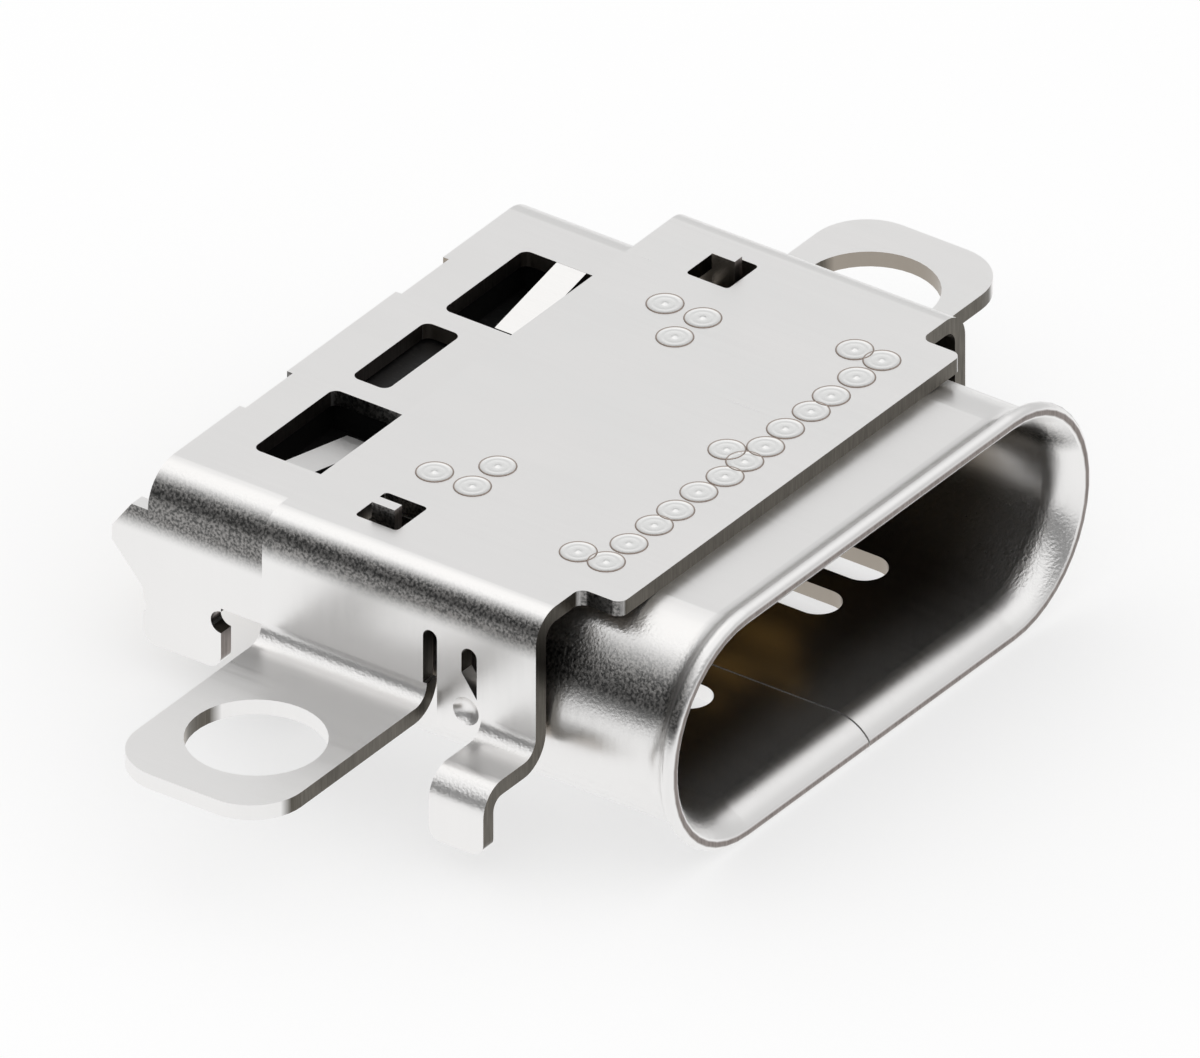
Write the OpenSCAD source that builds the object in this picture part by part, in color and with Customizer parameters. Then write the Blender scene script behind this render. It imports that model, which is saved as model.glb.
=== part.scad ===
// Mid-mount USB-C socket: a rolled steel shell with a flared mouth inside a folded
// steel cover, which carries two screw ears and two solder legs. A black moulding
// holds the tongue, its steel mid plate and two rows of twelve contacts.
//
// X runs across the socket, Y runs from the mouth to the back and Z is up. The origin
// is midway between the two screw holes, on the face that sits on the circuit board.

/* [Mouth] */
// Width of the opening that the plug enters
mouth_w = 8.34; // [8:0.01:8.8]
// Height of that opening
mouth_h = 2.56; // [2.4:0.01:2.7]
// Sheet thickness of the inner shell
shell_t = 0.22; // [0.16:0.01:0.26]
// Bend radius of the flare, at mid thickness
flare_r = 0.5; // [0.4:0.02:0.7]
// Angle that the flare turns outwards
flare_angle = 52; // [40:1:65]
// Length of the rolled tube, from the front of the mouth
tube_len = 6.15; // [6.1:0.01:6.3]
// Gap of the butt seam under the tube
seam_gap = 0.03; // [0.02:0.01:0.08]
// Seam's distance to the right of the middle
seam_x = -0.27; // [-0.5:0.01:0.3]

/* [Slots in the floor of the mouth] */
// Width of a slot
floor_slot_w = 0.62; // [0.4:0.01:0.7]
// Distance of the slots' round ends from the front of the mouth
floor_slot_from = 1.94; // [1.6:0.01:2.4]
// Length of a slot
floor_slot_len = 2.5; // [1.5:0.1:3]
// Distance between the two slots of a pair
floor_slot_pitch = 1; // [0.9:0.01:1.2]
// Middle of the right pair, from the middle of the socket
right_pair_x = 2.25; // [2:0.01:2.4]
// Middle of the left pair, from the middle of the socket
left_pair_x = -1.55; // [-2.4:0.01:-1.4]

/* [Shell's tail] */
// Outer width of the tail
tail_w = 8.4; // [8.2:0.01:8.5]
// Height of the tail's top above the middle of the mouth
tail_top = 1.39; // [1.34:0.01:1.44]
// Outer radius of the tail's two bends
tail_bend_r = 0.55; // [0.4:0.01:0.65]
// Where the tail starts, from the front of the mouth
tail_from = 6; // [5.9:0.01:6.05]
// Where the tail's top ends, from the front of the mouth
tail_to = 8.43; // [8.35:0.01:8.6]
// Depth of the two recesses in the tail's back edge
tail_recess = 0.09; // [0.05:0.01:0.15]
// Front edge of the middle window, from the front of the mouth
window_from = 7.14; // [7.05:0.01:7.2]
// Back edge of all three windows
window_to = 7.7; // [7.6:0.01:7.9]
// Width of the middle window
middle_window_w = 1.63; // [1.2:0.01:1.9]
// Inner edge of an outer window, from the middle of the socket
outer_window_in = 1.18; // [1.05:0.01:1.3]
// Outer edge of an outer window, from the middle of the socket
outer_window_out = 2.95; // [2.8:0.01:3.1]
// Front edge of an outer window, from the front of the mouth
outer_window_from = 6.45; // [6.35:0.01:6.5]
// Corner radius of the windows
window_r = 0.12; // [0.05:0.01:0.18]
// Width of the spring arm that crosses an outer window
arm_w = 0.46; // [0.3:0.01:0.5]
// Length of the arm
arm_len = 1.35; // [1:0.01:1.5]
// How far the arm's free end is bent down
arm_drop = 0.3; // [0.1:0.01:0.32]

/* [Shell's rear legs] */
// Front edge of a rear leg, from the front of the mouth
rear_leg_from = 7.29; // [7.1:0.01:7.4]
// Back edge of a rear leg
rear_leg_to = 8.5; // [8.3:0.01:8.6]
// Depth of the rear legs below the face that sits on the board
rear_leg_down = 0.83; // [0.6:0.01:1.2]
// How far the side walls' rounded wings pass the back of the tail
wing_reach = 0.56; // [0.2:0.01:0.7]
// Radius of the notch that hooks the leg into the board
hook_r = 0.16; // [0.1:0.01:0.2]

/* [Cover] */
// Sheet thickness of the cover
cover_t = 0.22; // [0.16:0.01:0.26]
// Clearance between the shell's side and the cover's wall
cover_gap = 0.05; // [0.02:0.01:0.1]
// Outer radius of the cover's two long bends
cover_bend_r = 0.42; // [0.36:0.01:0.5]
// Front edge of the cover's bends and walls, from the front of the mouth
cover_from = 2.05; // [1.9:0.01:2.1]
// Back edge of the cover
cover_to = 6.32; // [6.2:0.01:6.38]
// How far the front tab passes the cover's walls
tab_reach = 0.64; // [0.4:0.01:0.8]
// Width of the front tab
tab_w = 7.4; // [7:0.01:7.6]
// Corner radius of the front tab
tab_r = 0.14; // [0.05:0.01:0.2]
// Inner edge of the small windows, from the middle of the socket
peep_in = 3.25; // [3.1:0.01:3.3]
// Size of the small windows across the socket
peep_w = 0.68; // [0.6:0.01:0.75]
// Front edge of the small windows, from the front of the mouth
peep_from = 4.74; // [4.5:0.01:4.8]
// Size of the small windows along the socket
peep_len = 0.66; // [0.6:0.01:0.75]
// Height of the bent-up lugs above the cover
lug_up = 0.17; // [0.05:0.01:0.3]
// Lower edge of the cover's front walls, below the middle of the mouth
wall_down = 0.38; // [0.25:0.01:0.45]

/* [Relief cuts in the cover's walls] */
// Front edge of the long relief slot beside the ear
relief_from = 3.59; // [3.5:0.01:3.62]
// Width of the relief slot
relief_w = 0.22; // [0.18:0.01:0.26]
// Height of the relief slot's top above the middle of the mouth
relief_top = 0.98; // [0.8:0.01:1.05]
// Front edge of the short slot
short_slot_from = 2.97; // [2.95:0.01:3.05]
// Width of the short slot
short_slot_w = 0.24; // [0.16:0.01:0.26]
// Height of the short slot's bottom above the middle of the mouth
short_slot_low = 0.2; // [0.15:0.01:0.3]
// Height of the short slot
short_slot_h = 0.72; // [0.5:0.01:0.8]
// Width of the pressed dimple under the short slot
dimple_w = 0.4; // [0.2:0.01:0.44]
// Depth of that dimple
dimple_deep = 0.1; // [0.05:0.01:0.12]

/* [Ears] */
// Distance between the two screw holes
screw_spacing = 13.3; // [13:0.01:13.8]
// Distance from the front of the mouth back to the screw holes
screw_back = 4.98; // [4.9:0.01:5.05]
// Height of the middle of the mouth above the board
centre_up = 0.3; // [0.25:0.01:0.4]
// Diameter of the screw holes
screw_hole_d = 1.84; // [1.5:0.01:1.9]
// Width over both ears
ears_w = 16.32; // [16:0.01:16.8]
// Front edge of the ears, from the front of the mouth
ear_from = 3.75; // [3.72:0.01:3.8]
// Radius of the ears' corners
ear_r = 0.78; // [0.4:0.01:0.9]
// Radius inside the bend from the wall to the ear
ear_bend_r = 0.25; // [0.15:0.01:0.3]

/* [Cover's front legs] */
// Width of a front leg along the socket
leg_w = 0.85; // [0.7:0.01:0.88]
// Outer width over both front legs
legs_w = 11.6; // [11.3:0.01:11.8]
// Height of the leg's shelf below the middle of the mouth
leg_shelf = 0.28; // [0.25:0.01:0.32]
// Outer radius of the leg's lower bend
leg_bend_r = 0.4; // [0.3:0.01:0.45]
// Depth of the front legs below the face that sits on the board
leg_down = 0.94; // [0.8:0.01:1.2]
// Corner radius at the foot of a leg
leg_foot_r = 0.18; // [0.1:0.01:0.25]

/* [Tongue] */
// Distance from the front of the mouth to the tongue's nose
tongue_from = 1.86; // [1.8:0.01:1.95]
// Width of the tongue
tongue_w = 6.69; // [6.6:0.01:6.8]
// Thickness of the tongue
tongue_t = 0.7; // [0.68:0.01:0.74]
// Bevel of the tongue's nose
nose_bevel = 0.12; // [0.05:0.01:0.15]
// Where the tongue's thick root starts, from the front of the mouth
root_from = 4.75; // [4.6:0.01:4.9]
// Thickness of the root
root_t = 1.24; // [1.1:0.01:1.4]
// Width of the root
root_w = 7.3; // [7:0.01:7.5]
// Thickness of the steel mid plate
mid_plate_t = 0.15; // [0.1:0.01:0.2]
// Depth of the latch notch in the mid plate's edges
latch_notch = 0.25; // [0.15:0.01:0.35]
// Thickness of the two ground plates on the root
ground_plate_t = 0.1; // [0.08:0.01:0.14]

/* [Contacts] */
// Distance between neighbouring contacts
contact_pitch = 0.5; // [0.5:0.01:0.54]
// Width of a contact
contact_w = 0.25; // [0.2:0.01:0.3]
// Thickness of a contact
contact_t = 0.12; // [0.1:0.01:0.14]
// Front end of the long contacts, from the front of the mouth
long_from = 2.15; // [2.1:0.01:2.3]
// How much further back the short contacts start
short_step = 0.5; // [0.3:0.01:0.7]
// Back end of the upper row's feet, from the front of the mouth
foot_to = 9.3; // [9.1:0.01:9.5]
// Depth of the lower row's pins below the board's face
pin_down = 0.75; // [0.6:0.01:1]
// Front row of pins, from the front of the mouth
pin_row = 7.3; // [7.2:0.01:7.4]
// Distance between the two rows of pins
pin_row_pitch = 0.65; // [0.6:0.01:0.7]

/* [Housing] */
// Front face of the housing, from the front of the mouth
housing_from = 5.95; // [5.9:0.01:6]
// Back face of the housing, from the front of the mouth
housing_to = 8.3; // [8.25:0.01:8.34]
// Where the housing steps up over the board's edge
step_at = 6.8; // [6.7:0.01:6.9]
// Clearance between the housing and the shell
housing_gap = 0.04; // [0.03:0.01:0.06]

/* [Hidden] */
$fn = 48;
eps = 0.01;
COUNT = 12;
HOUSING_COLOUR = [0.06, 0.06, 0.06];
STEEL = [0.82, 0.81, 0.80];
GOLD = [0.83, 0.66, 0.33];

// Mouth and tube
tube_top = mouth_h / 2 + shell_t;
tube_side = mouth_w / 2 + shell_t;
round_x = (mouth_w - mouth_h) / 2;
flare_len = flare_r * sin(flare_angle) + shell_t / 2;
floor_slot_x = [
    left_pair_x - floor_slot_pitch / 2,
    left_pair_x + floor_slot_pitch / 2,
    right_pair_x - floor_slot_pitch / 2,
    right_pair_x + floor_slot_pitch / 2
];

// Cover
cover_top = tube_top + cover_t;
cover_side = tube_side + cover_gap + cover_t;
peep_mid = peep_in + peep_w / 2;
tab_from = cover_from - tab_reach;

// Ears and the board's face
board_z = -centre_up;
ear_top = board_z + cover_t;
ear_root = cover_side + ear_bend_r;

// Tail
tail_side = tail_w / 2;
tail_flat = tail_side - tail_bend_r;
tail_wall_low = board_z + housing_gap * 2;
arm_back = window_from + 0.05;

// Inner pieces
tongue_half = tongue_t / 2;
housing_top = tail_top - shell_t - housing_gap;
housing_side = tail_side - shell_t - housing_gap;
housing_low = board_z + housing_gap;
run_z = -tongue_half + contact_t * 0.9;
ground_from = root_from + 0.1;

// Distance of contact i from the middle of the socket. Row A counts from the left,
// row B from the right, as the plug's own two rows do.
function contact_x(row, i) = (row == "a" ? 1 : -1) * (i - (COUNT + 1) / 2) * contact_pitch;

// Ground and power contacts start further forward than the signal contacts.
function is_long(i) = i == 1 || i == 4 || i == 9 || i == 12;

// ---- Helpers ----

// Moves its children from the front middle of the mouth to their place on the board
module at_mouth() translate([0, -screw_back, centre_up]) children();

// Both sides of a piece that is the same left and right
module both_sides() {
    children();
    mirror([1, 0, 0]) children();
}

// A quarter bend in sheet of thickness t: from +X round to +Y, inner radius ri
module quarter_bend(ri, t) intersection() {
    difference() {
        circle(r = ri + t);
        circle(r = ri);
    }
    square(ri + t);
}

// A rectangle with round corners, from its low corner
module round_rect(size, r) {
    translate([r, 0]) square([size[0] - 2 * r, size[1]]);
    translate([0, r]) square([size[0], size[1] - 2 * r]);
    for (x = [r, size[0] - r])
        for (y = [r, size[1] - r])
            translate([x, y]) circle(r = r);
}

// Extrudes an outline drawn across (x) and up (y) along the socket
module along(from, to)
    translate([0, to, 0]) rotate([90, 0, 0]) linear_extrude(height = to - from) children();

// Extrudes an outline drawn along (x) and up (y) across the socket
module across(from, to)
    translate([from, 0, 0]) rotate([90, 0, 90]) linear_extrude(height = to - from) children();

// Extrudes an outline drawn across (x) and along (y) upwards
module upwards(from, to)
    translate([0, 0, from]) linear_extrude(height = to - from) children();

// ---- Inner shell ----

// The tube's wall in section: out from the middle plane (x), back from the mouth (y)
module wall_section() {
    bend_x = mouth_h / 2 + shell_t / 2 + flare_r;
    reach = 2 * flare_r;
    translate([mouth_h / 2, flare_len]) square([shell_t, tube_len - flare_len]);
    translate([bend_x, flare_len]) {
        intersection() {
            difference() {
                circle(r = flare_r + shell_t / 2);
                circle(r = flare_r - shell_t / 2);
            }
            polygon([[0, 0], [-reach, 0], [-reach, -reach * tan(flare_angle)]]);
        }
        translate([-flare_r * cos(flare_angle), -flare_r * sin(flare_angle)])
            circle(d = shell_t);
    }
}

// Sweeps a wall section round the mouth: two half-round ends and two flats
module around_mouth() rotate([-90, 0, 0]) {
    for (turn = [0, 180]) rotate(turn) {
        translate([round_x, 0, 0]) rotate(-90) rotate_extrude(angle = 180) children();
        rotate([90, 0, 90]) linear_extrude(height = 2 * round_x, center = true) children();
    }
}

module floor_slot(x) {
    r = floor_slot_w / 2;
    translate([x, floor_slot_from + r]) {
        circle(r = r);
        translate([-r, 0]) square([floor_slot_w, floor_slot_len - r]);
    }
}

// Outline of the tail's flat top, with its stepped back edge
module tail_outline() {
    recess_in = outer_window_in;
    recess_w = (outer_window_out - outer_window_in) * 0.58;
    difference() {
        translate([-tail_flat, tail_from]) square([2 * tail_flat, tail_to - tail_from]);
        both_sides() {
            translate([recess_in, tail_to - tail_recess])
                square([recess_w, tail_recess + eps]);
            translate([outer_window_in, outer_window_from])
                round_rect([outer_window_out - outer_window_in,
                            window_to - outer_window_from], window_r);
        }
        translate([-middle_window_w / 2, window_from])
            round_rect([middle_window_w, window_to - window_from], window_r);
    }
}

// Spring arm: hinged on the window's outer edge, its free end bent down inside
module spring_arm() {
    hinge = outer_window_out + eps;
    along(arm_back - arm_w, arm_back) polygon([
        [hinge, tail_top],
        [hinge, tail_top - shell_t],
        [outer_window_out - arm_len, tail_top - shell_t - arm_drop],
        [outer_window_out - arm_len, tail_top - arm_drop]
    ]);
}

// Side wall of the tail: the wall, the wing behind it and the leg with its hook
module tail_side_outline() {
    wall_top = tail_top - tail_bend_r;
    leg_low = board_z - rear_leg_down;
    wing_to = tail_to + wing_reach;
    leg_r = 0.2;
    difference() {
        union() {
            translate([tail_from, tail_wall_low])
                square([tail_to - tail_from, wall_top - tail_wall_low]);
            // Wing
            polygon([
                [tail_to - eps, wall_top],
                [tail_to + wing_reach * 0.45, wall_top],
                [wing_to, wall_top / 2],
                [wing_to, wall_top / 4],
                [tail_to + 0.05, tail_wall_low - 0.15],
                [tail_to - eps, tail_wall_low - 0.15]
            ]);
            // Leg
            translate([rear_leg_from, leg_low])
                round_rect([rear_leg_to - rear_leg_from, tail_wall_low - leg_low + leg_r], leg_r);
        }
        // Hook notches on both edges of the leg
        translate([rear_leg_from, tail_wall_low - hook_r * 1.3]) circle(r = hook_r);
        translate([rear_leg_to + hook_r * 0.4, tail_wall_low - hook_r * 2.4])
            circle(r = hook_r * 0.7);
    }
}

module tail() {
    upwards(tail_top - shell_t, tail_top) tail_outline();
    both_sides() {
        translate([tail_flat, 0, tail_top - tail_bend_r])
            along(tail_from, tail_to) quarter_bend(tail_bend_r - shell_t, shell_t);
        across(tail_side - shell_t, tail_side) tail_side_outline();
        spring_arm();
    }
}

// Lug lanced out of the shell, standing up through the cover's small window
lug_t = 0.16;
lug_len = peep_len - 0.3;
lug_at = peep_from + (peep_len - lug_len) / 2;
lug_x = peep_mid + 0.02;

module lug() {
    foot = sqrt(pow(tube_top - shell_t / 2, 2) - pow(lug_x - round_x, 2));
    translate([lug_x, lug_at, foot - shell_t / 2])
        cube([lug_t, lug_len, cover_top + lug_up - foot + shell_t / 2]);
}

module inner_shell() color(STEEL) at_mouth() {
    difference() {
        union() {
            around_mouth() wall_section();
            tail();
        }
        // Butt seam and the slots, cut through the floor
        translate([seam_x - seam_gap / 2, -eps, -tube_top - flare_r])
            cube([seam_gap, tube_len + 2 * eps, tube_top + flare_r - shell_t]);
        upwards(-tube_top - eps, -mouth_h / 2 + shell_t)
            for (x = floor_slot_x) floor_slot(x);
        // Holes that the two lugs leave
        both_sides() translate([lug_x - lug_len, lug_at, mouth_h / 4])
            cube([lug_len, lug_len, tube_top]);
    }
    both_sides() lug();
}

// ---- Outer cover ----

// Flat top of the cover with its front tab, seen from above
module cover_top_outline() {
    flat = cover_side - cover_bend_r;
    difference() {
        union() {
            translate([-flat, cover_from]) square([2 * flat, cover_to - cover_from]);
            translate([-tab_w / 2, tab_from])
                round_rect([tab_w, tab_reach + 3 * tab_r], tab_r);
            // Fillets where the tab's sides meet the cover's front edge
            both_sides() translate([tab_w / 2 - eps, cover_from - tab_r]) difference() {
                square([tab_r + eps, tab_r + eps]);
                translate([tab_r + eps, 0]) circle(r = tab_r);
            }
        }
        both_sides() translate([peep_in, peep_from]) round_rect([peep_w, peep_len], 0.06);
    }
}

// Cover's side wall, drawn along (x) and up (y)
module cover_wall_outline() {
    wall_top = cover_top - cover_bend_r;
    ear_bend_z = ear_top + ear_bend_r;
    leg_bend_z = -leg_shelf + ear_bend_r;
    leg_to = cover_from + leg_w;
    difference() {
        union() {
            translate([cover_from, leg_bend_z])
                square([cover_to - cover_from, wall_top - leg_bend_z]);
            // Front wall, between the leg and the relief slot
            translate([leg_to, -wall_down])
                round_rect([relief_from + relief_w / 2 - leg_to, wall_top + wall_down - 0.1], 0.1);
        }
        // The ear's part of the wall stops where its bend starts
        translate([ear_from, leg_bend_z - eps])
            square([cover_to - ear_from + eps, ear_bend_z - leg_bend_z + eps]);
        // Relief slot beside the ear, round at its top and open below
        translate([relief_from, -wall_down - eps])
            square([relief_w, relief_top - relief_w / 2 + wall_down + eps]);
        translate([relief_from + relief_w / 2, relief_top - relief_w / 2])
            circle(d = relief_w);
        // Short slot with a slanted lower end
        translate([short_slot_from, short_slot_low]) intersection() {
            union() {
                square([short_slot_w, short_slot_h - short_slot_w / 2]);
                translate([short_slot_w / 2, short_slot_h - short_slot_w / 2])
                    circle(d = short_slot_w);
            }
            polygon([[0, 0], [short_slot_w, short_slot_w * 1.4],
                     [short_slot_w, short_slot_h + eps], [0, short_slot_h + eps]]);
        }
    }
}

// Dimple pressed into the wall under the short slot
module dimple() {
    ball = (dimple_w * dimple_w / 4 + dimple_deep * dimple_deep) / (2 * dimple_deep);
    translate([cover_side + ball - dimple_deep, short_slot_from + short_slot_w / 2 + 0.05,
               short_slot_low - dimple_w / 2 - 0.02])
        sphere(r = ball);
}

// Screw ear: the bend out of the wall and the flat ear with its hole
module ear() {
    along(ear_from, cover_to) translate([ear_root, ear_top + ear_bend_r])
        rotate(180) quarter_bend(ear_bend_r, cover_t);
    upwards(board_z, ear_top) difference() {
        union() {
            translate([ear_root, ear_from])
                round_rect([ears_w / 2 - ear_root, cover_to - ear_from], ear_r);
            translate([ear_root, ear_from]) square([ear_r, cover_to - ear_from]);
        }
        translate([screw_spacing / 2, screw_back]) circle(d = screw_hole_d);
    }
}

// Front leg: out of the wall, over a short shelf and straight down
module front_leg() {
    out = legs_w / 2;
    foot = board_z - leg_down;
    low_bend_z = -leg_shelf - leg_bend_r;
    along(cover_from, cover_from + leg_w) {
        translate([ear_root, -leg_shelf + ear_bend_r])
            rotate(180) quarter_bend(ear_bend_r, cover_t);
        translate([ear_root, -leg_shelf - cover_t])
            square([out - leg_bend_r - ear_root, cover_t]);
        translate([out - leg_bend_r, low_bend_z])
            quarter_bend(leg_bend_r - cover_t, cover_t);
    }
    across(out - cover_t, out) {
        translate([cover_from, foot]) round_rect([leg_w, low_bend_z - foot], leg_foot_r);
        translate([cover_from, (foot + low_bend_z) / 2])
            square([leg_w, (low_bend_z - foot) / 2]);
    }
}

module outer_cover() color(STEEL) at_mouth() difference() {
    union() {
        upwards(tube_top, cover_top) cover_top_outline();
        both_sides() {
            translate([cover_side - cover_bend_r, 0, cover_top - cover_bend_r])
                along(cover_from, cover_to) quarter_bend(cover_bend_r - cover_t, cover_t);
            across(cover_side - cover_t, cover_side) cover_wall_outline();
            ear();
            front_leg();
        }
    }
    both_sides() dimple();
}

// ---- Contacts ----

// Side view of an upper contact: blade, drop behind the housing and soldered foot
module upper_contact_outline(from) {
    top = tongue_half;
    back = housing_to + 0.12;
    r = contact_t;
    translate([from, top - contact_t]) square([back - from, contact_t]);
    translate([back, top - contact_t - r]) quarter_bend(r, contact_t);
    translate([back + r, board_z + contact_t + r])
        square([contact_t, top - 2 * contact_t - 2 * r - board_z + contact_t - contact_t]);
    translate([back + 2 * r + contact_t, board_z + contact_t + r])
        rotate(180) quarter_bend(r, contact_t);
    translate([back + 2 * r + contact_t, board_z])
        square([foot_to - back - 2 * r - contact_t, contact_t]);
}

// Side view of a lower contact: blade, small jog, run and the pin down
module lower_contact_outline(from, pin) {
    jog = step_at - 0.4;
    translate([from, -tongue_half]) square([jog + contact_t - from, contact_t]);
    translate([jog, -tongue_half]) square([contact_t, run_z + contact_t + tongue_half]);
    translate([jog, run_z]) square([pin - jog, contact_t]);
    translate([pin, board_z - pin_down])
        square([contact_t, run_z + contact_t - board_z + pin_down]);
}

module contact(row, i) {
    x = contact_x(row, i);
    from = long_from + (is_long(i) ? 0 : short_step);
    pin = pin_row + (i % 2 == 0 ? pin_row_pitch : 0);
    across(x - contact_w / 2, x + contact_w / 2)
        if (row == "a") upper_contact_outline(from);
        else lower_contact_outline(from, pin);
}

module contact_a(i) color(GOLD) at_mouth() contact("a", i);
module contact_b(i) color(GOLD) at_mouth() contact("b", i);

module all_contacts() for (i = [1:COUNT]) {
    contact("a", i);
    contact("b", i);
}

// ---- Mid plate, ground plates, tongue and housing ----

module mid_plate_body() {
    half = tongue_w / 2;
    from = tongue_from + 0.3;
    to = step_at + 0.3;
    notch_y = tongue_from + 1.15;
    upwards(-mid_plate_t / 2, mid_plate_t / 2) difference() {
        translate([-half, from]) square([2 * half, to - from]);
        // Latch notches in the two edges
        both_sides() {
            translate([half - latch_notch, notch_y + latch_notch])
                square([latch_notch + eps, latch_notch]);
            for (y = [latch_notch, 2 * latch_notch])
                translate([half, notch_y + y]) circle(r = latch_notch);
        }
        // Holes that the moulding flows through
        for (x = [-3:2:3])
            translate([x * contact_pitch * 1.5, tongue_from + 2]) circle(d = 0.4);
    }
}

module mid_plate() color(STEEL) at_mouth() mid_plate_body();

// Ground plate on the root of the tongue, turned up against the housing
module ground_plate_body() {
    half = root_w / 2 - 0.25;
    z = root_t / 2;
    translate([-half, ground_from, z])
        cube([2 * half, housing_from - ground_from, ground_plate_t]);
    translate([-half, housing_from - ground_plate_t, z])
        cube([2 * half, ground_plate_t, mouth_h / 2 - z - 0.12]);
}

module ground_plate_top() color(STEEL) at_mouth() ground_plate_body();
module ground_plate_bottom() color(STEEL) at_mouth() mirror([0, 0, 1]) ground_plate_body();

// Tongue: bevelled nose, flat blade and thick root, moulded round the plate
module tongue_body() {
    half = tongue_w / 2;
    root_bevel = 0.15;
    across(-half, half) polygon([
        [tongue_from, -tongue_half + nose_bevel],
        [tongue_from + nose_bevel, -tongue_half],
        [housing_from, -tongue_half],
        [housing_from, tongue_half],
        [tongue_from + nose_bevel, tongue_half],
        [tongue_from, tongue_half - nose_bevel]
    ]);
    across(-root_w / 2, root_w / 2) polygon([
        [root_from, -tongue_half],
        [root_from + root_bevel, -root_t / 2],
        [housing_from, -root_t / 2],
        [housing_from, root_t / 2],
        [root_from + root_bevel, root_t / 2],
        [root_from, tongue_half]
    ]);
}

module tongue() color(HOUSING_COLOUR) at_mouth() difference() {
    tongue_body();
    all_contacts();
    mid_plate_body();
}

// Housing's section behind the board's edge, with the shell's round upper corners
module housing_section(low) {
    r = tail_bend_r - shell_t;
    corner_x = housing_side - r;
    translate([-housing_side, low]) square([2 * housing_side, housing_top - r - low]);
    translate([-corner_x, low]) square([2 * corner_x, housing_top - low]);
    both_sides() translate([corner_x, housing_top - r]) circle(r = r);
}

// The same section with the lower half rounded to fit inside the tube
module housing_front_section() {
    r = mouth_h / 2 - housing_gap;
    intersection() {
        housing_section(-r);
        union() {
            square([2 * round_x, 2 * r], center = true);
            both_sides() translate([round_x, 0]) circle(r = r);
        }
    }
}

module housing() color(HOUSING_COLOUR) at_mouth() difference() {
    union() {
        along(housing_from, step_at) housing_front_section();
        along(step_at - eps, housing_to) housing_section(housing_low);
    }
    // Pockets under the two spring arms
    both_sides() translate([outer_window_in - 0.05, outer_window_from - 0.05,
                            tail_top - shell_t - arm_drop - 0.1])
        cube([outer_window_out - outer_window_in + 0.1,
              window_to - outer_window_from + 0.1, tail_top]);
    all_contacts();
    mid_plate_body();
}

inner_shell();
outer_cover();
housing();
tongue();
mid_plate();
ground_plate_top();
ground_plate_bottom();
for (i = [1:COUNT]) {
    contact_a(i);
    contact_b(i);
}
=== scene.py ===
import math

import bmesh
import bpy
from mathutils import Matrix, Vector


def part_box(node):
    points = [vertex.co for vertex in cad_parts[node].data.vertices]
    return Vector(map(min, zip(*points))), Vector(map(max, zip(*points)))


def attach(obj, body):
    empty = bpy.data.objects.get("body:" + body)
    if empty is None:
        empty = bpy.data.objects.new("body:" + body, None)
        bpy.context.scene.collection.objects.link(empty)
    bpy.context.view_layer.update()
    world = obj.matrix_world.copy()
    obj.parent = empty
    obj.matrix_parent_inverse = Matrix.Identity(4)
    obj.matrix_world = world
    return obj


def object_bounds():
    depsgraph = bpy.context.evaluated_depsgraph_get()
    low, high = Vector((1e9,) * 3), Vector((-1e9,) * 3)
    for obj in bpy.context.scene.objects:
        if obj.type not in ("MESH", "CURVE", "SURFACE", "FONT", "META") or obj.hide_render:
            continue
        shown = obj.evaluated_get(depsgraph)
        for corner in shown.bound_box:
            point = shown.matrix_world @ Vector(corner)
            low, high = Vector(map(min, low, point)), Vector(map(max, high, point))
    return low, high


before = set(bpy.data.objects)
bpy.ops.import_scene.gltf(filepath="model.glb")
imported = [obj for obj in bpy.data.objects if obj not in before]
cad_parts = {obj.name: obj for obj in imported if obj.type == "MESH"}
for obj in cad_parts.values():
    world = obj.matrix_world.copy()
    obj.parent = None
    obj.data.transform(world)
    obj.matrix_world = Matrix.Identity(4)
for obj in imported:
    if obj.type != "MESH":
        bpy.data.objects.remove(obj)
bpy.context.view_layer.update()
bpy.context.scene.view_settings.view_transform = "Standard"
MM = 0.001


# ---- The studio: floor, light and camera ----
# The socket stands on its solder legs on a plain white table. The light is soft and even,
# with a brighter ceiling and one dim end of the room, low down behind the socket's left.

def linear(code):
    """A colour written as sRGB hex, such as "c8c4c0", as the linear colour a shader takes."""
    parts = [int(code[i:i + 2], 16) / 255 for i in (0, 2, 4)]
    return [p / 12.92 if p < 0.04045 else ((p + 0.055) / 1.055) ** 2.4 for p in parts] + [1]


def add(tree, kind, inputs=None, **settings):
    """Adds one node: settings are its own properties, inputs are values or other sockets."""
    node = tree.nodes.new(kind)
    for name, value in settings.items():
        setattr(node, name, value)
    for name, value in (inputs or {}).items():
        if isinstance(value, bpy.types.NodeSocket):
            tree.links.new(value, node.inputs[name])
        else:
            node.inputs[name].default_value = value
    return node


def blank(owner):
    """Empties a material's or the world's node tree and returns it."""
    owner.use_nodes = True
    owner.node_tree.nodes.clear()
    return owner.node_tree


low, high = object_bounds()
FLOOR_SIZE = 4000 * MM
floor_mesh = bpy.data.meshes.new("table_top")
half = FLOOR_SIZE / 2
floor_mesh.from_pydata(
    [(-half, -half, low.z), (half, -half, low.z), (half, half, low.z), (-half, half, low.z)],
    [], [(0, 1, 2, 3)])
floor = bpy.data.objects.new("table_top", floor_mesh)
bpy.context.scene.collection.objects.link(floor)

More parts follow.
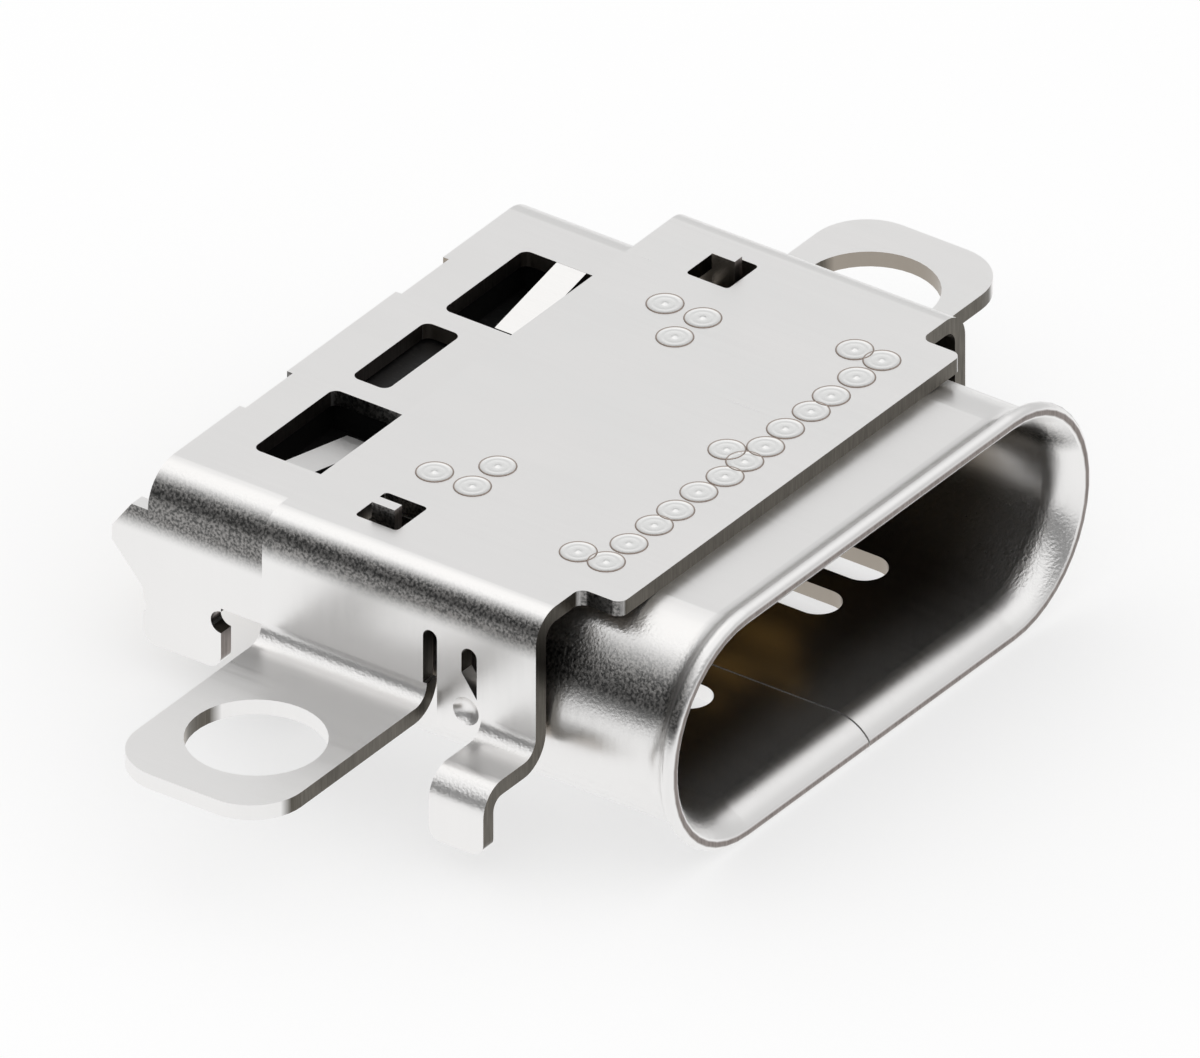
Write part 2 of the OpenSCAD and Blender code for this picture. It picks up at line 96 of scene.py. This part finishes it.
# White lacquered board: matt, and plain white in reflections. The camera sees only
# SHADE_KEPT of the soft shade that the socket throws on it.
SHADE_KEPT = 0.45
board = bpy.data.materials.new("white_lacquered_board")
tree = blank(board)
fleck = add(tree, "ShaderNodeTexNoise", {"Scale": 400.0, "Detail": 2.0})
white = add(tree, "ShaderNodeMix", {
    "Factor": fleck.outputs[0], "A": linear("fdfdfd"), "B": linear("ffffff")}, data_type="RGBA")
matt = add(tree, "ShaderNodeBsdfDiffuse", {"Color": white.outputs["Result"]})
lit = add(tree, "ShaderNodeEmission", {"Color": white.outputs["Result"], "Strength": 1.0})
rays = add(tree, "ShaderNodeLightPath")
paler = add(tree, "ShaderNodeMath", {
    0: rays.outputs["Is Camera Ray"], 1: 1 - SHADE_KEPT}, operation="MULTIPLY")
mirrored = add(tree, "ShaderNodeMath", {
    0: paler.outputs[0], 1: rays.outputs["Is Glossy Ray"]}, operation="MAXIMUM")
unshaded = add(tree, "ShaderNodeMath", {
    0: mirrored.outputs[0], 1: rays.outputs["Is Transmission Ray"]}, operation="MAXIMUM")
top_coat = add(tree, "ShaderNodeMixShader", {
    0: unshaded.outputs[0], 1: matt.outputs[0], 2: lit.outputs[0]})
add(tree, "ShaderNodeOutputMaterial", {"Surface": top_coat.outputs[0]})
floor_mesh.materials.append(board)

# The room: white to the camera. In reflections the ceiling is brightest, and the left
# end is dim up to about 25 degrees above the table, brightening until about 48 degrees.
room = bpy.data.worlds.new("white_room")
bpy.context.scene.world = room
tree = blank(room)
look = add(tree, "ShaderNodeTexCoord")
way = add(tree, "ShaderNodeSeparateXYZ", {"Vector": look.outputs["Generated"]})
ceiling = add(tree, "ShaderNodeMapRange", {
    "Value": way.outputs["Z"], "From Min": 0.42, "From Max": 0.74},
    interpolation_type="SMOOTHSTEP")
right_end = add(tree, "ShaderNodeMapRange", {
    "Value": way.outputs["X"], "From Min": -0.25, "From Max": 0.45,
    "To Min": 0.2, "To Max": 0.665}, interpolation_type="SMOOTHSTEP")
wall_light = add(tree, "ShaderNodeMix", {
    "Factor": ceiling.outputs[0], "A": right_end.outputs[0], "B": 1.02}, data_type="FLOAT")
rays = add(tree, "ShaderNodeLightPath")
seen = add(tree, "ShaderNodeMix", {
    "Factor": rays.outputs["Is Glossy Ray"], "A": 1.0, "B": wall_light.outputs[0]},
    data_type="FLOAT")
glow = add(tree, "ShaderNodeBackground", {
    "Color": linear("ffffff"), "Strength": seen.outputs[0]})
add(tree, "ShaderNodeOutputWorld", {"Surface": glow.outputs[0]})

# One soft lamp high behind the socket, for the light line along the bends
LAMP_WAY = Vector((0.19, 0.50, 0.85)).normalized()
LAMP_FAR = 220 * MM
LAMP_SIZE = 130 * MM
LAMP_RADIANCE = 0.12
centre = (low + high) / 2
lamp_data = bpy.data.lights.new("soft_lamp", "AREA")
lamp_data.shape = "SQUARE"
lamp_data.size = LAMP_SIZE
lamp_data.energy = LAMP_RADIANCE * math.pi * LAMP_SIZE ** 2
lamp_data.color = linear("fff8ee")[:3]
lamp = bpy.data.objects.new("soft_lamp", lamp_data)
lamp.location = centre + LAMP_WAY * LAMP_FAR
lamp.rotation_euler = (-LAMP_WAY).to_track_quat("-Z", "Y").to_euler()
bpy.context.scene.collection.objects.link(lamp)

# The camera looks down on the mouth's left front corner in parallel projection, as a
# very long lens does. Places are measured from the mouth's front and middle.
tongue_low, tongue_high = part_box("tongue")
mouth_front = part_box("inner_shell")[0].y
mouth_mid = (tongue_low.z + tongue_high.z) / 2
AZIMUTH = math.radians(-54.3)
ELEVATION = math.radians(31.68)
VIEW_WIDTH = 15.196 * MM
CAMERA_FAR = 300 * MM
aim = Vector((-1.507 * MM, mouth_front + 3.314 * MM, mouth_mid + 1.047 * MM))
back = Vector((math.sin(AZIMUTH) * math.cos(ELEVATION),
               -math.cos(AZIMUTH) * math.cos(ELEVATION), math.sin(ELEVATION)))
eye_data = bpy.data.cameras.new("camera")
eye_data.type = "ORTHO"
eye_data.ortho_scale = VIEW_WIDTH
eye_data.clip_start = 1 * MM
eye = bpy.data.objects.new("camera", eye_data)
eye.location = aim + back * CAMERA_FAR
eye.rotation_euler = (-back).to_track_quat("-Z", "Y").to_euler()
bpy.context.scene.collection.objects.link(eye)
bpy.context.scene.camera = eye


# ---- Inner shell and outer cover ----
# Both are stamped from thin stainless strip, folded in progressive dies and nickel
# plated. Laser spots through the cover's top hold it to the rolled tube.

def in_millimetres(tree):
    """Object coordinates in millimetres, for patterns sized from the real surface."""
    place = add(tree, "ShaderNodeTexCoord")
    scaled = add(tree, "ShaderNodeVectorMath", {0: place.outputs["Object"], "Scale": 1 / MM},
                 operation="SCALE")
    return scaled.outputs["Vector"]


def stretched_noise(tree, place, size_mm, detail=3.0):
    """Noise whose grains measure size_mm along X, Y and Z."""
    sized = add(tree, "ShaderNodeVectorMath", {0: place, 1: [1 / s for s in size_mm]},
                operation="MULTIPLY")
    return add(tree, "ShaderNodeTexNoise", {
        "Vector": sized.outputs["Vector"], "Scale": 1.0, "Detail": detail}).outputs[0]


def plated_steel(name, face_hex, warm_hex, edge_hex, edge_dark_hex, roughness,
                 fold_top, fold_shade_depth):
    """Stainless strip: satin rolled faces, the fine orange peel that bending raises on its folds,
    drawing marks down its walls and torn, darker cut edges. Painted shade: the steep faces are
    darkened from fold_top down to the given fold depth, both in millimetres, for the dim reflections
    along the folds, with the orange-peel grain speckled into it."""
    fold_shade_fade = 0.16
    steel = bpy.data.materials.new(name)
    tree = blank(steel)
    place = in_millimetres(tree)
    shape = add(tree, "ShaderNodeNewGeometry")
    facing = add(tree, "ShaderNodeSeparateXYZ", {"Vector": shape.outputs["Normal"]})
    side, along, upward = [
        add(tree, "ShaderNodeMath", {0: facing.outputs[axis]}, operation="ABSOLUTE").outputs[0]
        for axis in "XYZ"]

    # Folds: where the sheet faces neither straight up nor straight sideways
    lesser = add(tree, "ShaderNodeMath", {0: side, 1: upward}, operation="MINIMUM")
    fold = add(tree, "ShaderNodeMapRange", {
        "Value": lesser.outputs[0], "From Min": 0.1, "From Max": 0.4}).outputs[0]
    # Painted shade for the dim reflections on the folds: steep faces are darkened from the long
    # folds down to the given depth under fold_top
    spot = add(tree, "ShaderNodeSeparateXYZ", {"Vector": place})
    painted_fold_shade = add(tree, "ShaderNodeMapRange", {
        "Value": spot.outputs["Z"], "From Min": fold_top - fold_shade_depth - fold_shade_fade,
        "From Max": fold_top - fold_shade_depth + fold_shade_fade}, interpolation_type="SMOOTHSTEP")
    steep = add(tree, "ShaderNodeMapRange", {
        "Value": side, "From Min": 0.45, "From Max": 0.8}, interpolation_type="SMOOTHSTEP")
    painted_fold_shade = add(tree, "ShaderNodeMath", {0: painted_fold_shade.outputs[0], 1: steep.outputs[0]},
               operation="MULTIPLY").outputs[0]
    # Cut edges face along the strip's length
    edge = add(tree, "ShaderNodeMapRange", {
        "Value": along, "From Min": 0.90, "From Max": 0.97}).outputs[0]

    # Grain sizes in millimetres: orange peel, tarnish, drawing and rolling marks, torn steel
    peel = stretched_noise(tree, place, (0.04, 0.04, 0.04), 2.0)
    cloud = stretched_noise(tree, place, (1.4, 1.9, 1.4))
    drawn = stretched_noise(tree, place, (0.05, 0.05, 1.6))
    rolled = stretched_noise(tree, place, (0.07, 2.4, 0.07))
    torn = stretched_noise(tree, place, (0.035, 0.3, 0.4), 4.0)

    wall_marks = add(tree, "ShaderNodeMix", {
        "Factor": side, "A": rolled, "B": drawn}, data_type="FLOAT")
    relief = add(tree, "ShaderNodeMix", {
        "Factor": fold, "A": wall_marks.outputs[0], "B": peel}, data_type="FLOAT")
    depth = add(tree, "ShaderNodeMapRange", {
        "Value": fold, "To Min": 0.08, "To Max": 0.55})
    bump = add(tree, "ShaderNodeBump", {
        "Strength": depth.outputs[0], "Distance": 0.012 * MM, "Height": relief.outputs[0]})

    face = add(tree, "ShaderNodeMix", {
        "Factor": cloud, "A": linear(face_hex), "B": linear(warm_hex)}, data_type="RGBA")
    # Painted shade colour for the folds, speckled dark and lighter grey by the orange-peel grain
    speckle = add(tree, "ShaderNodeMapRange", {
        "Value": peel, "From Min": 0.38, "From Max": 0.62})
    painted_fold_shade_colour = add(tree, "ShaderNodeMix", {
        "Factor": speckle.outputs[0], "A": linear("565655"), "B": linear("989694")},
        data_type="RGBA")
    # The painted fold shade is mixed into the face colour here
    face = add(tree, "ShaderNodeMix", {
        "Factor": painted_fold_shade, "A": face.outputs["Result"], "B": painted_fold_shade_colour.outputs["Result"]},
        data_type="RGBA")
    # Painted shade inside the tube: inward faces are painted a duller grey, fading in from half a
    # millimetre to 1.6 mm behind the mouth's front
    from_axis = add(tree, "ShaderNodeVectorMath", {
        0: place, 1: (0, 0, mouth_mid / MM)}, operation="SUBTRACT")
    outward = add(tree, "ShaderNodeVectorMath", {
        0: from_axis.outputs["Vector"], 1: shape.outputs["Normal"]}, operation="MULTIPLY")
    parts = add(tree, "ShaderNodeSeparateXYZ", {"Vector": outward.outputs["Vector"]})
    turned_in = add(tree, "ShaderNodeMath", {
        0: parts.outputs["X"], 1: parts.outputs["Z"]}, operation="ADD")
    turned_in = add(tree, "ShaderNodeMath", {0: turned_in.outputs[0], 1: -0.3},
                    operation="LESS_THAN")
    depth_in = add(tree, "ShaderNodeMapRange", {
        "Value": spot.outputs["Y"],
        "From Min": mouth_front / MM + 0.5, "From Max": mouth_front / MM + 1.6},
        interpolation_type="SMOOTHSTEP")
    painted_inside_shade = add(tree, "ShaderNodeMath", {
        0: turned_in.outputs[0], 1: depth_in.outputs[0]}, operation="MULTIPLY")
    face = add(tree, "ShaderNodeMix", {
        "Factor": painted_inside_shade.outputs[0], "A": face.outputs["Result"], "B": linear("a0988e")},
        data_type="RGBA")
    cut = add(tree, "ShaderNodeMix", {
        "Factor": torn, "A": linear(edge_dark_hex), "B": linear(edge_hex)}, data_type="RGBA")
    colour = add(tree, "ShaderNodeMix", {
        "Factor": edge, "A": face.outputs["Result"], "B": cut.outputs["Result"]},
        data_type="RGBA")
    gloss = add(tree, "ShaderNodeMapRange", {
        "Value": relief.outputs[0], "To Min": roughness - 0.06, "To Max": roughness + 0.08})
    surface = add(tree, "ShaderNodeBsdfPrincipled", {
        "Base Color": colour.outputs["Result"], "Metallic": 1.0,
        "Roughness": gloss.outputs[0], "Normal": bump.outputs[0]})
    add(tree, "ShaderNodeOutputMaterial", {"Surface": surface.outputs[0]})
    return steel


def dress(nodes, material):
    """Gives CAD nodes their finish, in the material slots that they already have."""
    for name in nodes:
        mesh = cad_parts[name].data
        if not mesh.materials:
            mesh.materials.append(material)
        for i in range(len(mesh.materials)):
            mesh.materials[i] = material


cover_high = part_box("outer_cover")[1]
TAIL_ABOVE_MIDDLE = 1.39
tail_top = mouth_mid / MM + TAIL_ABOVE_MIDDLE
shell_steel = plated_steel("nickel_plated_steel_tube", "efeeed", "f3f2f1", "a29a96", "5f5753", 0.30,
                           tail_top, 0.8)
cover_steel = plated_steel("nickel_plated_steel_cover", "efefee", "f4f2f1", "77726a", "3d3a33", 0.30,
                           cover_high.z / MM, 0.5)
dress(["inner_shell"], shell_steel)
dress(["outer_cover"], cover_steel)


# ---- Laser weld spots ----
# Rings of remelted steel, half a millimetre across, that join the cover to the tube.
# Each has a raised grey rim and a bright frozen drop in the middle.

def weld_spot(radius, rim, drop):
    """A round spot turned about Z: dished disc, raised rim and centre drop."""
    flat = 0.002
    ripple = radius * 0.6
    profile = [(0.0, drop), (0.02, 0.8 * drop), (0.04, 0.2 * drop), (0.055, flat),
               (ripple - 0.015, flat), (ripple, 2.5 * flat), (ripple + 0.015, flat),
               (radius - 2 * rim, flat), (radius - rim, rim), (radius - 0.3 * rim, 0.7 * rim),
               (radius, 0.0), (radius, -0.01)]
    steps = 40
    form = bmesh.new()
    rows = []
    for r, z in profile:
        if r == 0:
            rows.append([form.verts.new((0, 0, z * MM))])
            continue
        turn = [2 * math.pi * k / steps for k in range(steps)]
        rows.append([form.verts.new((r * math.cos(a) * MM, r * math.sin(a) * MM, z * MM))
                     for a in turn])
    for inner, outer in zip(rows, rows[1:]):
        for k in range(steps):
            nxt = (k + 1) % steps
            if len(inner) == 1:
                form.faces.new((inner[0], outer[k], outer[nxt]))
            else:
                form.faces.new((inner[k], outer[k], outer[nxt], inner[nxt]))
    form.faces.new(list(reversed(rows[-1])))
    for face in form.faces:
        face.smooth = True
    mesh = bpy.data.meshes.new("weld_spot")
    form.to_mesh(mesh)
    form.free()
    return mesh


# Remelted steel: brown-grey oxide on the rim, clean metal inside it
WELD_R = 0.25
WELD_RIM = 0.012
WELD_DROP = 0.022
melted = bpy.data.materials.new("laser_remelted_steel")
tree = blank(melted)
place = in_millimetres(tree)
distance = add(tree, "ShaderNodeVectorMath", {
    0: add(tree, "ShaderNodeVectorMath", {0: place, 1: (1, 1, 0)}, operation="MULTIPLY").outputs[0]},
    operation="LENGTH")
burn = add(tree, "ShaderNodeMapRange", {
    "Value": distance.outputs["Value"], "From Min": WELD_R - 2.2 * WELD_RIM,
    "From Max": WELD_R - 1.4 * WELD_RIM})
grain = stretched_noise(tree, place, (0.03, 0.03, 0.03))
tint = add(tree, "ShaderNodeMix", {
    "Factor": grain, "A": linear("8a7d75"), "B": linear("b3a59c")}, data_type="RGBA")
colour = add(tree, "ShaderNodeMix", {
    "Factor": burn.outputs[0], "A": linear("efefee"), "B": tint.outputs["Result"]},
    data_type="RGBA")
bump = add(tree, "ShaderNodeBump", {"Strength": 0.3, "Distance": 0.006 * MM, "Height": grain})
surface = add(tree, "ShaderNodeBsdfPrincipled", {
    "Base Color": colour.outputs["Result"], "Metallic": 1.0, "Roughness": 0.32,
    "Normal": bump.outputs[0]})
add(tree, "ShaderNodeOutputMaterial", {"Surface": surface.outputs[0]})

spot_mesh = weld_spot(WELD_R, WELD_RIM, WELD_DROP)
spot_mesh.materials.append(melted)
# Across the cover, and back from the front of the mouth: a group of three inboard of
# each small window, and a front row that is doubled at its ends and in the middle
BACK_GROUP = [(2.50, 5.18), (2.50, 4.59), (1.92, 4.61)]
FRONT_ROW = [(3.00, 2.58), (2.99, 2.15), (2.47, 2.17), (1.92, 2.17), (1.47, 2.16),
             (0.94, 2.18), (0.44, 2.13)]
MIDDLE = [(0.0, 2.14), (0.1, 2.49)]
spots = [(side * x, y) for side in (-1, 1) for x, y in BACK_GROUP + FRONT_ROW] + MIDDLE
for count, (x, y) in enumerate(spots, 1):
    spot = bpy.data.objects.new(f"weld_spot_{count}", spot_mesh)
    spot.location = (x * MM, mouth_front + y * MM, cover_high.z)
    bpy.context.scene.collection.objects.link(spot)
    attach(spot, "root")


# ---- Mid plate and ground plates ----
# Blanked from thin stainless strip and left bare. The plates carry the plug's latch
# and ground springs, so their faces are smooth and lightly scored along the socket.

plate_steel = plated_steel("bare_stainless_plate", "b9b7b5", "c6c2be", "8c8681", "544e4a", 0.28,
                           cover_high.z / MM, 0)
dress(["mid_plate", "ground_plate_top", "ground_plate_bottom"], plate_steel)


# ---- Contacts ----
# Twenty-four strips of phosphor bronze, gold plated over nickel on the blades and
# tin-bright at the soldered ends. Plating leaves a warm, slightly wavy gloss.

gold = bpy.data.materials.new("gold_plated_bronze")
tree = blank(gold)
place = in_millimetres(tree)
wave = stretched_noise(tree, place, (0.25, 1.1, 0.25))
scratch = stretched_noise(tree, place, (0.02, 1.5, 0.02), 2.0)
colour = add(tree, "ShaderNodeMix", {
    "Factor": wave, "A": linear("d9a94e"), "B": linear("efca7c")}, data_type="RGBA")
gloss = add(tree, "ShaderNodeMapRange", {"Value": scratch, "To Min": 0.16, "To Max": 0.34})
bump = add(tree, "ShaderNodeBump", {"Strength": 0.15, "Distance": 0.004 * MM, "Height": scratch})
surface = add(tree, "ShaderNodeBsdfPrincipled", {
    "Base Color": colour.outputs["Result"], "Metallic": 1.0,
    "Roughness": gloss.outputs[0], "Normal": bump.outputs[0]})
add(tree, "ShaderNodeOutputMaterial", {"Surface": surface.outputs[0]})
dress([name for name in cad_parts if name.startswith("contact_")], gold)


# ---- Housing and tongue ----
# Glass-filled liquid-crystal polymer, injection moulded in black round the contacts and
# the mid plate. The mould's fine spark texture shows, with faint flow lines.

def moulded_polymer(name, dark_hex, light_hex, roughness):
    """Black glass-filled polymer: spark-textured skin with pale fibre flecks."""
    polymer = bpy.data.materials.new(name)
    tree = blank(polymer)
    place = in_millimetres(tree)
    spark = stretched_noise(tree, place, (0.04, 0.04, 0.04))
    flow = stretched_noise(tree, place, (0.5, 2.2, 0.4))
    fibre = stretched_noise(tree, place, (0.03, 0.12, 0.03), 2.0)
    fleck = add(tree, "ShaderNodeMapRange", {
        "Value": fibre, "From Min": 0.62, "From Max": 0.75, "To Max": 0.35})
    body = add(tree, "ShaderNodeMix", {
        "Factor": flow, "A": linear(dark_hex), "B": linear(light_hex)}, data_type="RGBA")
    colour = add(tree, "ShaderNodeMix", {
        "Factor": fleck.outputs[0], "A": body.outputs["Result"], "B": linear("3a3936")},
        data_type="RGBA")
    gloss = add(tree, "ShaderNodeMapRange", {
        "Value": spark, "To Min": roughness - 0.08, "To Max": roughness + 0.12})
    bump = add(tree, "ShaderNodeBump", {
        "Strength": 0.35, "Distance": 0.006 * MM, "Height": spark})
    surface = add(tree, "ShaderNodeBsdfPrincipled", {
        "Base Color": colour.outputs["Result"], "Roughness": gloss.outputs[0], "IOR": 1.6,
        "Specular IOR Level": 0.2, "Normal": bump.outputs[0]})
    add(tree, "ShaderNodeOutputMaterial", {"Surface": surface.outputs[0]})
    return polymer


dress(["housing"], moulded_polymer("black_polymer_housing", "080808", "0f0e0e", 0.45))
dress(["tongue"], moulded_polymer("black_polymer_tongue", "070707", "0e0d0c", 0.38))
